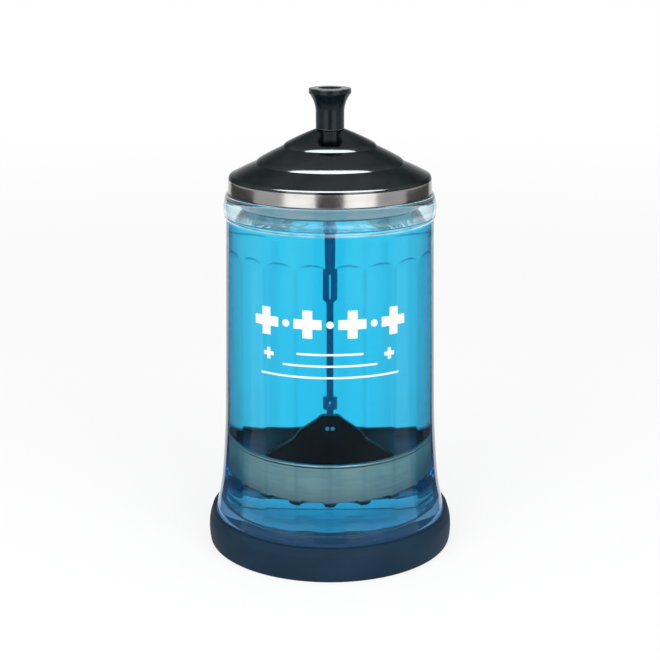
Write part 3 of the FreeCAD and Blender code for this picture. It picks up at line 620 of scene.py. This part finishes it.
def grid_faces(rows: int, columns: int, closed_rows: bool = False, closed_columns: bool = True) -> Faces:
    """Quads of a grid of points.

    Face (i, j) joins point (i, j) to its neighbours j + 1 and i + 1, and
    turns so that it faces away from the axis where i climbs.

    Args:
        rows: Points along the profile.
        columns: Points round the axis.
        closed_rows: Whether the last row joins the first.
        closed_columns: Whether the last column joins the first.

    Returns:
        Four point numbers for each quad.
    """
    along = np.arange(rows if closed_rows else rows - 1)
    across = np.arange(columns if closed_columns else columns - 1)
    row, column = np.meshgrid(along, across, indexing="ij")
    above, beside = (row + 1) % rows, (column + 1) % columns
    corners = [row * columns + column, row * columns + beside]
    corners += [above * columns + beside, above * columns + column]
    return np.stack(corners, axis=-1).reshape(-1, 4).astype(np.int32)


def around(radius: Array, height: Array | float, angles: Array) -> Array:
    """Points (r cos a, r sin a, h), one in each row."""
    parts = np.broadcast_arrays(radius * np.cos(angles), radius * np.sin(angles), height)
    return np.stack(parts, axis=-1).reshape(-1, 3)


def placed(name: str, data: bpy.types.ID) -> Piece:
    """A new object of this data, linked into the scene."""
    made = bpy.data.objects.new(name, data)
    bpy.context.scene.collection.objects.link(made)
    return made


def put_mesh(name: str, points: Array, faces: list[Faces], smooth: float) -> Piece:
    """Make an object of points and faces.

    Args:
        name: Its name.
        points: Its points, in millimetres.
        faces: Blocks of faces with the same number of corners.
        smooth: Edges that turn by more than this, in degrees, stay sharp.

    Returns:
        The object, at the origin.
    """
    mesh = bpy.data.meshes.new(name)
    mesh.from_pydata((points * MM).tolist(), [], [face for block in faces for face in block.tolist()])
    mesh.validate()
    mesh.shade_smooth()
    mesh.set_sharp_from_angle(angle=math.radians(smooth))
    return placed(name, mesh)


def turned(radius: Array, height: Array, angles: Array) -> tuple[Array, list[Faces]]:
    """A closed surface whose first and last rows are its poles on the axis.

    Radius and height may differ from angle to angle. Each pole is one
    point, joined to its row by triangles.

    Args:
        radius: Distance from the axis, rows by columns.
        height: Height, rows by columns.
        angles: The angle of each column.

    Returns:
        Its points and its blocks of faces.
    """
    rows, columns = radius[1:-1].shape
    poles = np.array([[0, 0, height[0].mean()], [0, 0, height[-1].mean()]])
    points = np.concatenate([around(radius[1:-1], height[1:-1], angles), poles])
    grid = np.arange(rows * columns).reshape(rows, columns)
    pole = np.full(columns, rows * columns)
    bottom_fan = np.stack([pole, np.roll(grid[0], -1), grid[0]], axis=1)
    top_fan = np.stack([grid[-1], np.roll(grid[-1], -1), pole + 1], axis=1)
    return points, [grid_faces(rows, columns), bottom_fan, top_fan]


def ring_of(profile: Array, columns: int) -> tuple[Array, list[Faces]]:
    """A closed ring: a closed profile, anticlockwise, carried once round the axis.

    Args:
        profile: Radius and height of each point.
        columns: Points round the axis.

    Returns:
        Its points and its faces.
    """
    angles = np.linspace(0, 2 * np.pi, columns, endpoint=False)
    points = around(profile[:, :1], profile[:, 1:], angles)
    return points, [grid_faces(len(profile), columns, closed_rows=True)]


def dress(piece: Piece, *finishes: Finish) -> None:
    """Give a new piece its materials, in the order of its face groups, and log it."""
    for finish in finishes:
        piece.data.materials.append(finish.material())
    LOG.info("%s: %d faces", piece.name, len(piece.data.polygons))


# ---- Glass jar, its liquid and its print ----


@dataclass
class Bore:
    """The jar's inside: flat panels that end in arches under a round mouth."""

    floor: float
    rim: float
    corner_top: float = 41.7
    corner_draft: float = 0.00625
    lean: float = 0.325
    panel_top: float = 137.0
    round_wall: float = 41.8
    mouth: float = 42.3
    mouth_round: float = 1.5
    floor_round: float = 5.0
    crease: float = 7.0
    columns_per_panel: int = 14
    wall_rows: tuple[int, int, int] = (12, 8, 30)
    round_rows: int = 10
    floor_rows: int = 8

    def angles(self) -> Array:
        """Column angles, closer together beside each corner between panels.

        Within a panel the angle is its half width times the sine of a
        quarter turn times u, with u evenly spaced from -1 to 1.
        """
        share = np.linspace(-1, 1, self.columns_per_panel, endpoint=False)
        within = HALF_PANEL * (1 + np.sin(share * np.pi / 2))
        starts = -np.pi / 2 + 2 * HALF_PANEL * np.arange(PANELS)
        return (starts[:, None] + within).ravel()

    def slope(self) -> float:
        """How much wider the round wall gets with each millimetre above the panels."""
        return (self.mouth - self.round_wall) / (self.rim - self.mouth_round - self.panel_top)

    def cone(self, height: Array) -> Array:
        """Radius of the round wall: even up to the panels' top, then opening to the mouth."""
        return self.round_wall + self.slope() * np.maximum(height - self.panel_top, 0)

    def corner(self, height: Array) -> Array:
        """Corner radius of the panels: the larger of their drafted and leaning runs."""
        up = height - self.panel_top
        drafted, leaning = self.corner_draft * up, self.lean * up
        return self.corner_top + np.logaddexp(drafted * self.crease, leaning * self.crease) / self.crease

    def flats(self, angles: Array) -> tuple[Array, Array]:
        """How far this panel and the next stand from the axis at each angle.

        A flat at a distance d meets the ray at an angle a from its middle
        at d / cos a. Both are shares of the corner radius.
        """
        off = (angles + np.pi / 2) % (2 * HALF_PANEL) - HALF_PANEL
        near = np.cos(HALF_PANEL) / np.cos(off)
        return near, np.cos(HALF_PANEL) / np.cos(2 * HALF_PANEL - np.abs(off))

    def side(self, angles: Array, height: Array) -> Array:
        """Radius of the wall: the soft least of two panels and the round wall.

        The soft least of some numbers is less the log of the sum of the
        exponents of their negatives, scaled by the crease's sharpness.
        """
        near, beside = self.flats(angles)
        corner = self.corner(height)
        walls = np.stack([corner * near, corner * beside, self.cone(height) * np.ones_like(near)])
        least = walls.min(axis=0)
        return least - np.log(np.exp((least - walls) * self.crease).sum(axis=0)) / self.crease

    def arch(self, angles: Array) -> Array:
        """Height of each panel's arch: where its leaning part meets the round wall."""
        near, _ = self.flats(angles)
        gap = self.round_wall - self.corner_top * near
        return self.panel_top + gap / (self.lean * near - self.slope())

    def rows(self, angles: Array, top: float) -> Array:
        """Heights of the rows of the wall, from a top level down to the floor's rounding.

        They crowd towards the arches and the break under them, because
        each run between two levels is spaced by half a cosine.
        """
        stops = (top, self.arch(angles), self.panel_top, self.floor + self.floor_round)
        levels = [np.full_like(angles, stop) for stop in stops]
        blocks = []
        for upper, lower, count in zip(levels, levels[1:], self.wall_rows):
            share = (1 - np.cos(np.linspace(0, np.pi, count, endpoint=False))) / 2
            blocks.append(upper + (lower - upper) * share[:, None])
        blocks.append(levels[-1][None, :])
        return np.concatenate(blocks)

    def surface(self, angles: Array, top: float, out: float = 0.0) -> tuple[Array, Array]:
        """The wall from a level down, the rounding under it, then the floor to near the axis.

        The rounding is a quarter circle from the wall's own radius at each
        angle; the floor's rows then shrink evenly.

        Args:
            angles: Column angles.
            top: The level.
            out: How far the surface is moved into the glass.

        Returns:
            Radius and height of the rows.
        """
        wall_z = self.rows(angles, top)
        wall_r = self.side(angles, wall_z) + out
        turn = np.linspace(0, np.pi / 2, self.round_rows + 1)[1:, None]
        bend = self.floor_round + out
        round_r = wall_r[-1] - bend * (1 - np.cos(turn))
        round_z = wall_z[-1] - bend * np.sin(turn)
        floor_r = round_r[-1] * np.linspace(1, 0, self.floor_rows + 1)[1:, None]
        floor_z = np.full_like(floor_r, self.floor - out)
        return np.concatenate([wall_r, round_r, floor_r]), np.concatenate([wall_z, round_z, floor_z])


@dataclass
class GlassJar:
    """Pressed glass jar: flared foot, tapering side, beaded rim and panelled bore.

    Each run of its side or bead holds how far its end is in from the foot's
    radius or out from the neck's, how far it is up from the foot or down
    from the rim, its bend, and its steps.
    """

    bore: Bore
    foot: float
    rim: float
    foot_r: float
    push_up: float = 1.2
    push_up_in: Pair = (11.6, 8.6)
    heel: float = 5.0
    rubber_gap: float = 0.04
    rubber_up: float = 9.0
    lip: float = 15.6
    lip_in: float = 0.55
    lip_bend: float = 19.0
    side: tuple[Run, ...] = ((0.65, 14.0, 19.0, 2), (3.6, 30.0, -95.0, 14), (5.5, 60.0, -480.0, 14))
    neck_in: float = 7.2
    bead_down: float = 11.0
    bead: tuple[Run, ...] = ((0.8, 9.4, 1.6, 5), (0.4, 2.0, 13.5, 12), (-1.6, 0.0, 2.0, 8))

    def outside(self) -> Array:
        """The outline from the middle of the foot, up the side and over the rim.

        Returns:
            Radius and height of its points.
        """
        foot, wide = self.foot + self.rubber_gap, self.foot_r - self.rubber_gap
        flat, edge = (self.foot_r - inset for inset in self.push_up_in)
        run = Profile(0.0, foot + self.push_up)
        run.line(flat, foot + self.push_up, 8).arc(edge, foot, self.heel, 4)
        run.line(self.foot_r - self.heel, foot, 2).arc(wide, foot + self.heel, self.heel, 10)
        run.line(wide, self.foot + self.rubber_up, 2)
        run.arc(self.foot_r - self.lip_in, self.lip, self.lip_bend, 4)
        for inset, up, bend, steps in self.side:
            run.arc(self.foot_r - inset, self.foot + up, bend, steps)
        neck = self.foot_r - self.neck_in
        run.line(neck, self.rim - self.bead_down, 24)
        for out, down, bend, steps in self.bead:
            run.arc(neck + out, self.rim - down, bend, steps)
        return run.array()

    def build(self) -> Piece:
        """Join the outside to the bore, and close both on the axis.

        Returns:
            The jar, riding on its body in place of its CAD node.
        """
        angles = self.bore.angles()
        shell = self.outside()
        mouth, bend = self.bore.mouth, self.bore.mouth_round
        lip = Profile(*shell[-1]).line(mouth + bend, self.rim, 2).arc(mouth, self.rim - bend, bend, 7)
        outer = np.concatenate([shell, lip.array()[1:-1]])[:, :, None] * np.ones_like(angles)
        bore_r, bore_z = self.bore.surface(angles, self.rim - bend)
        radius = np.concatenate([outer[:, 0], bore_r])
        height = np.concatenate([outer[:, 1], bore_z])
        jar = put_mesh("glass_jar_body", *turned(radius, height, angles), smooth=35.0)
        dress(jar, GLASS)
        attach(jar, "jar")
        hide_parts("glass_jar")
        return jar


@dataclass
class Liquid:
    """The disinfectant: it fills the bore and climbs a little at the wall."""

    bore: Bore
    level: float = LIQUID_LEVEL
    overlap: float = 0.1
    climb: float = 0.8
    climb_width: float = 1.2
    top_rows: int = 39

    def build(self) -> Piece:
        """The bore's own shape, a little into the glass, closed by its top.

        The top's height over its level is the climb times the exponent of
        the negative distance from the wall over the climb's width.

        Returns:
            The liquid, riding on the jar.
        """
        angles = self.bore.angles()
        bore_r, bore_z = self.bore.surface(angles, self.level + self.climb, self.overlap)
        edge = bore_r[0]
        top_r = edge * (1 - np.linspace(0, 1, self.top_rows + 1)[1:, None] ** 2.2)
        top_z = self.level + self.climb * np.exp((top_r - edge) / self.climb_width)
        radius = np.concatenate([bore_r[::-1], top_r])
        height = np.concatenate([bore_z[::-1], top_z])
        liquid = put_mesh("disinfectant_liquid", *turned(radius, height, angles), smooth=40.0)
        dress(liquid, LIQUID)
        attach(liquid, "jar")
        return liquid


@dataclass
class Print:
    """White enamel on the jar's front: rules, and a row of plain crosses and dots."""

    outline: Array
    middle: float = 114.6
    stand: float = 0.05
    sink: float = 0.02
    pitch: float = 9.7
    cross: float = 6.1
    arm: float = 2.15
    dot: float = 1.6
    small_row: float = 100.3
    small_x: Pair = (-28.0, 27.0)
    small_cross: float = 2.5
    small_arm: float = 0.85
    rules: Triple = (14.5, 21.0, 32.0)
    rule_up: float = 1.6
    rule_pitch: float = 5.1
    rule_width: float = 0.9
    bar_grid: tuple[int, int] = (33, 5)
    dot_grid: int = 9
    points: list[Array] = field(default_factory=list)
    faces: list[Faces] = field(default_factory=list)

    def radius(self, height: Array) -> Array:
        """The glass's outer radius at a height."""
        side = self.outline[self.outline[:, 1] > self.small_row / 2]
        return np.interp(height, side[:, 1], side[:, 0])

    def add(self, across: Array, up: Array) -> None:
        """Lay a flat grid on the glass and close it into a thin tile.

        A point goes to the angle of its distance across over the radius at
        its height, at that radius plus the tile's stand.

        Args:
            across: Distance to the right of the middle, rows by columns.
            up: Height, rows by columns.
        """
        radius = self.radius(up)
        sides = [
            around(radius + lift, up, across / radius - np.pi / 2) for lift in (self.stand, -self.sink)
        ]
        grid = np.arange(up.size).reshape(up.shape)
        edge = np.concatenate([grid[0, :-1], grid[:-1, -1], grid[-1, :0:-1], grid[:0:-1, 0]])
        after = np.roll(edge, -1)
        front = grid_faces(*up.shape, closed_columns=False)
        walls = np.stack([edge, edge + up.size, after + up.size, after], axis=1)
        self.faces.append(np.concatenate([front, front[:, ::-1] + up.size, walls]) + len(self.points))
        self.points.extend(np.concatenate(sides))

    def bar(self, left: float, right: float, low: float, high: float) -> None:
        """A level or upright bar between four lines."""
        columns, rows = self.bar_grid
        self.add(*np.meshgrid(np.linspace(left, right, columns), np.linspace(low, high, rows)))

    def plus(self, x: float, z: float, size: float, arm: float) -> None:
        """A plain cross: an upright bar and two short ones.

        Args:
            x: How far its middle is to the right.
            z: How high its middle is.
            size: Half its width.
            arm: Half an arm's width.
        """
        self.bar(x - arm, x + arm, z - size, z + size)
        self.bar(x - size, x - arm, z - arm, z + arm)
        self.bar(x + arm, x + size, z - arm, z + arm)

    def disc(self, x: float, z: float, size: float) -> None:
        """A round dot: a square grid pressed on to a disc.

        A point (u, v) of the square goes to (u root(1 - v v / 2),
        v root(1 - u u / 2)) times the size.
        """
        u, v = np.meshgrid(*[np.linspace(-1, 1, self.dot_grid)] * 2)
        self.add(x + size * u * np.sqrt(1 - v**2 / 2), z + size * v * np.sqrt(1 - u**2 / 2))

    def build(self) -> Piece:
        """Lay out the print and make it one piece.

        Returns:
            The print, riding on the jar.
        """
        for place in range(-3, 4):
            if place % 2:
                self.plus(place * self.pitch, self.middle, self.cross, self.arm)
            else:
                self.disc(place * self.pitch, self.middle, self.dot)
        for x in self.small_x:
            self.plus(x, self.small_row, self.small_cross, self.small_arm)
        for count, half in enumerate(self.rules):
            top = self.small_row + self.rule_up - count * self.rule_pitch
            self.bar(-half, half, top - self.rule_width, top)
        made = put_mesh("enamel_print", np.array(self.points), self.faces, smooth=40.0)
        dress(made, ENAMEL)
        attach(made, "jar")
        return made


# ---- Lid ----


class LidFace(Enum):
    """The lid's three finishes, in the order of its material slots."""

    DOME = 0
    BAND = 1
    INSIDE = 2


@dataclass
class LidShell:
    """Spun steel lid: curled edge, brushed band, and three polished tiers.

    Its hem, edge and shoulder hold how far in from the band they end, how
    far up from the band's foot or top, and the bend and steps of a curve.
    """

    seat: float
    top: float
    band_r: float = 45.4
    band_taper: float = 0.3
    hem_r: float = 42.1
    hem: Run = (0.35, 0.5, 0.55, 6)
    edge: Pair = (0.55, 0.85)
    shoulder: Run = (1.4, 1.75, 1.6, 12)
    dome_bend: float = 120.0
    step_bend: float = 4.5
    inside_bend: float = 5.1
    gauge: float = 0.8
    band_gauge: float = 0.7
    hole_r: float = 5.0
    band_top: float = 170.0
    columns: int = 288
    hem_steps: int = 3

    def tiers(self, bend: float, drop: float, steps: int) -> list[Run]:
        """Runs from the top of the band to the hole.

        Args:
            bend: Radius of the first run, over the shoulder.
            drop: How far it is below the outer face on the dome.
            steps: Points on a long run.

        Returns:
            Radius, height, bend and steps of each run.
        """
        top = self.top - drop
        return [
            (self.band_r - self.band_taper - 2.5, top - 19.2, bend, 8),
            (33.0, top - 14.7, self.dome_bend, steps),
            (31.4, top - 13.0, self.step_bend, 10),
            (20.9, top - 7.6, self.dome_bend, steps),
            (19.3, top - 5.9, self.step_bend, 10),
            (6.5, top, self.dome_bend, steps),
        ]

    def build(self) -> Piece:
        """Outer face up to the hole, then the inner face back down to the hem.

        Returns:
            The lid, riding on its body in place of its CAD node.
        """
        slanted = self.band_r - self.band_taper
        inset, up, bend, steps = self.hem
        run = Profile(self.hem_r, self.seat).line(self.band_r - inset, self.seat, self.hem_steps)
        run.arc(self.band_r, self.seat + up, bend, steps).line(slanted, self.band_top, 6)
        inset, up, bend, steps = self.shoulder
        run.line(self.band_r - self.edge[0], self.band_top + self.edge[1], 3)
        run.arc(self.band_r - inset, self.band_top + up, bend, steps)
        for stop in self.tiers(self.dome_bend, 0.0, 14):
            run.arc(*stop)
        run.line(self.hole_r, self.top, 3).line(self.hole_r, self.top - self.gauge, 2)
        back = Profile(self.band_r - self.band_gauge, self.seat + self.band_gauge)
        back.line(slanted - self.band_gauge, self.band_top, 4)
        for stop in self.tiers(self.inside_bend, self.gauge, 8):
            back.arc(*stop)
        end = [[self.hem_r, self.seat + self.band_gauge]]
        profile = np.concatenate([run.array(), back.array()[::-1], end])
        lid = put_mesh("lid_shell_body", *ring_of(profile, self.columns), smooth=24.0)
        dress(lid, DOME_STEEL, BAND_STEEL, INSIDE_STEEL)
        group = np.full(len(profile), LidFace.INSIDE.value)
        outer = group[self.hem_steps : len(run.points) - 1]
        height = run.array()[self.hem_steps : -1, 1]
        on_band = (height > self.seat + 0.2) & (height < self.band_top - 0.01)
        outer[:] = np.where(on_band, LidFace.BAND.value, LidFace.DOME.value)
        lid.data.polygons.foreach_set("material_index", np.repeat(group, self.columns).astype(np.int32))
        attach(lid, "lid")
        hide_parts("lid_shell")
        return lid


class Trim:
    """The CAD nodes that keep their own shape, and what each is made of."""

    finishes: dict[str, Finish] = {
        "rubber_base": RUBBER,
        "lid_plug_ring": RING_STEEL,
        "rod_bush": BUSH_PLASTIC,
        "bush_clip": FASTENER_STEEL,
        "knob": BLACK_PLASTIC,
        "knob_cap": CAP_PLASTIC,
        "knob_screw": FASTENER_STEEL,
        "lift_rod": ROD_PLASTIC,
        "foot_web": WEB_PLASTIC,
        "web_rivets": FASTENER_STEEL,
        "tray": TRAY_STEEL,
        "tray_screws": FASTENER_STEEL,
        "tray_washers": FASTENER_STEEL,
    }

    def dress(self) -> None:
        """Give each node its material."""
        for node, finish in self.finishes.items():
            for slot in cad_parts[node].material_slots:
                slot.material = finish.material()
            LOG.info("%s: %s", node, finish.name)


# ---- Studio ----


def hide(piece: Piece, *rays: str) -> None:
    """Keep a piece out of sight of some kinds of rays."""
    for ray in rays:
        setattr(piece, f"visible_{ray}", False)


@dataclass(frozen=True)
class Lamp:
    """A soft lamp that faces the object, in degrees and metres; a radiance of 1 is white."""

    name: str
    right: float
    up: float
    away: float
    size: Pair
    radiance: float
    aim: float = 0.12

    def hang(self) -> Piece:
        """Put it up, out of the camera's sight.

        Returns:
            The lamp.
        """
        data = bpy.data.lights.new(self.name, "AREA")
        data.shape = "RECTANGLE"
        data.size, data.size_y = self.size
        data.energy = self.radiance * math.pi * math.prod(self.size)
        made = placed(self.name, data)
        turn, rise = math.radians(self.right), math.radians(self.up)
        flat = self.away * math.cos(rise)
        height = self.aim + self.away * math.sin(rise)
        made.location = (flat * math.sin(turn), -flat * math.cos(turn), height)
        made.rotation_euler = (math.pi / 2 - rise, 0.0, turn)
        hide(made, "camera")
        return made


@dataclass(frozen=True)
class Card:
    """An upright card, bent round the axis, that only reflections show, in degrees and metres."""

    name: str
    turns: Pair
    away: float
    top: float
    finish: Finish
    foot: float = 0.002
    grid: tuple[int, int] = (5, 13)

    def stand(self) -> None:
        """Put it up between its two turns from the front."""
        rows, columns = self.grid
        turn = np.radians(np.linspace(*self.turns, columns)) - np.pi / 2
        up = np.linspace(self.foot, self.top, rows)[:, None]
        points = around(np.full_like(up, self.away), up, turn) / MM
        quads = grid_faces(rows, columns, closed_columns=False)[:, ::-1]
        made = put_mesh(self.name, points, [quads], smooth=180.0)
        made.data.materials.append(self.finish.material())
        hide(made, "camera", "diffuse", "transmission", "shadow")


@dataclass
class Studio:
    """Pale floor, even white surroundings, soft lamps and the camera."""

    ambient: float = 0.60
    floor_r: float = 8000.0
    floor_sides: int = 96
    floor_lit: float = 0.22
    foot_r: float = 56.0
    fade: Pair = (250.0, 1500.0)
    camera_lens: float = 82.9
    camera_place: Triple = (0.0, -0.6693, 0.2812)
    camera_tilt: float = 15.17

    def seen(self, net: Net) -> Term:
        """1 for what is seen straight on, in metal or through glass, else 0.

        Args:
            net: The nodes that ask.

        Returns:
            The answer.
        """
        path = net.node("ShaderNodeLightPath")
        kinds = ("Is Camera Ray", "Is Glossy Ray", "Is Transmission Ray")
        camera, glossy, through = (path.outputs[kind] for kind in kinds)
        return net.math("MAXIMUM", net.math("MAXIMUM", camera, glossy), through)

    def surroundings(self) -> None:
        """White where it is seen, and paler light on what it falls on."""
        world = bpy.data.worlds.new("surroundings")
        bpy.context.scene.world = world
        net = Net(world)
        strength = self.ambient + self.seen(net) * (1 - self.ambient)
        shader = net.node("ShaderNodeBackground", None, {"Color": WHITE, "Strength": strength})
        net.node("ShaderNodeOutputWorld", None, {"Surface": shader.outputs[0]})

    def floor(self) -> None:
        """A round floor that is near white where it is seen and keeps the shadow."""
        angles = np.linspace(0, 2 * np.pi, self.floor_sides, endpoint=False)
        edge = around(np.full(self.floor_sides, self.floor_r), 0.0, angles)
        made = put_mesh("studio_floor", edge, [np.arange(self.floor_sides)[None]], smooth=180.0)
        material = bpy.data.materials.new("studio_floor_paint")
        net = Net(material)
        paint = net.node("ShaderNodeBsdfDiffuse", None, {"Color": (0.93, 0.93, 0.93)})
        glow = net.node("ShaderNodeEmission", None, {"Color": WHITE, "Strength": 1.0})
        away = net.radius()
        lit = self.floor_lit * (1 - away.step(*self.fade))
        factor = self.seen(net) * away.step(self.foot_r - 4, self.foot_r) * (1 - lit)
        both = net.node("ShaderNodeMixShader", None, {0: factor, 1: paint.outputs[0], 2: glow.outputs[0]})
        net.node("ShaderNodeOutputMaterial", None, {"Surface": both.outputs[0]})
        made.data.materials.append(material)

    def lamps(self) -> None:
        """Two soft boxes in front, and a strip that only polished metal picks up."""
        for name, turn in (("left_softbox", -33.0), ("right_softbox", 33.0)):
            Lamp(name, turn, up=34.0, away=1.05, size=(0.60, 0.75), radiance=3.8).hang()
        strip = Lamp("crescent_lamp", 0.0, up=62.0, away=0.95, size=(2.3, 0.85), radiance=22.0).hang()
        strip.data.shape = "ELLIPSE"
        hide(strip, "diffuse", "transmission")

    def cards(self) -> None:
        """A black flag in front, a white card each side of it, and a grey one by each side of the jar."""
        Card("black_flag", (-15.0, 15.0), away=0.56, top=0.60, finish=BLACK_CARD).stand()
        for side, turns in (("right", (15.0, 50.0)), ("left", (-50.0, -15.0))):
            Card(f"{side}_bounce", turns, away=0.56, top=0.30, finish=WHITE_CARD).stand()
        for side, turns in (("right", (74.0, 122.0)), ("left", (-122.0, -74.0))):
            Card(f"{side}_edge_card", turns, away=0.10, top=0.165, finish=GREY_CARD).stand()

    def camera(self) -> None:
        """The camera: in front, above the lid, tilted down."""
        data = bpy.data.cameras.new("camera")
        data.lens = self.camera_lens
        made = placed("camera", data)
        made.location = self.camera_place
        made.rotation_euler = (math.radians(90 - self.camera_tilt), 0.0, 0.0)
        bpy.context.scene.camera = made

    def light_only(self, *pieces: Piece) -> None:
        """Let the crescent lamp light these pieces and nothing else."""
        lit = bpy.data.collections.new("lit_by_the_crescent_lamp")
        for piece in pieces:
            lit.objects.link(piece)
        bpy.data.objects["crescent_lamp"].light_linking.receiver_collection = lit

    def build(self) -> None:
        """Set up everything that isn't the object."""
        bpy.context.scene.view_settings.view_transform = "Standard"
        self.surroundings()
        self.floor()
        self.lamps()
        self.cards()
        self.camera()


def main() -> None:
    """Build the studio and each sub-assembly in turn."""
    logging.basicConfig(level=logging.INFO, format="%(name)s: %(message)s")
    studio = Studio()
    studio.build()
    low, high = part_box("glass_jar")
    bore = Bore(floor=low.z / MM + GLASS_FLOOR, rim=high.z / MM)
    jar = GlassJar(bore=bore, foot=low.z / MM, rim=high.z / MM, foot_r=high.x / MM)
    jar.build()
    Liquid(bore).build()
    Print(outline=jar.outside()).build()
    low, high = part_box("lid_shell")
    lid = LidShell(seat=low.z / MM, top=high.z / MM).build()
    Trim().dress()
    studio.light_only(lid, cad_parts["knob"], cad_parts["knob_cap"])


if __name__ == "__main__":
    main()
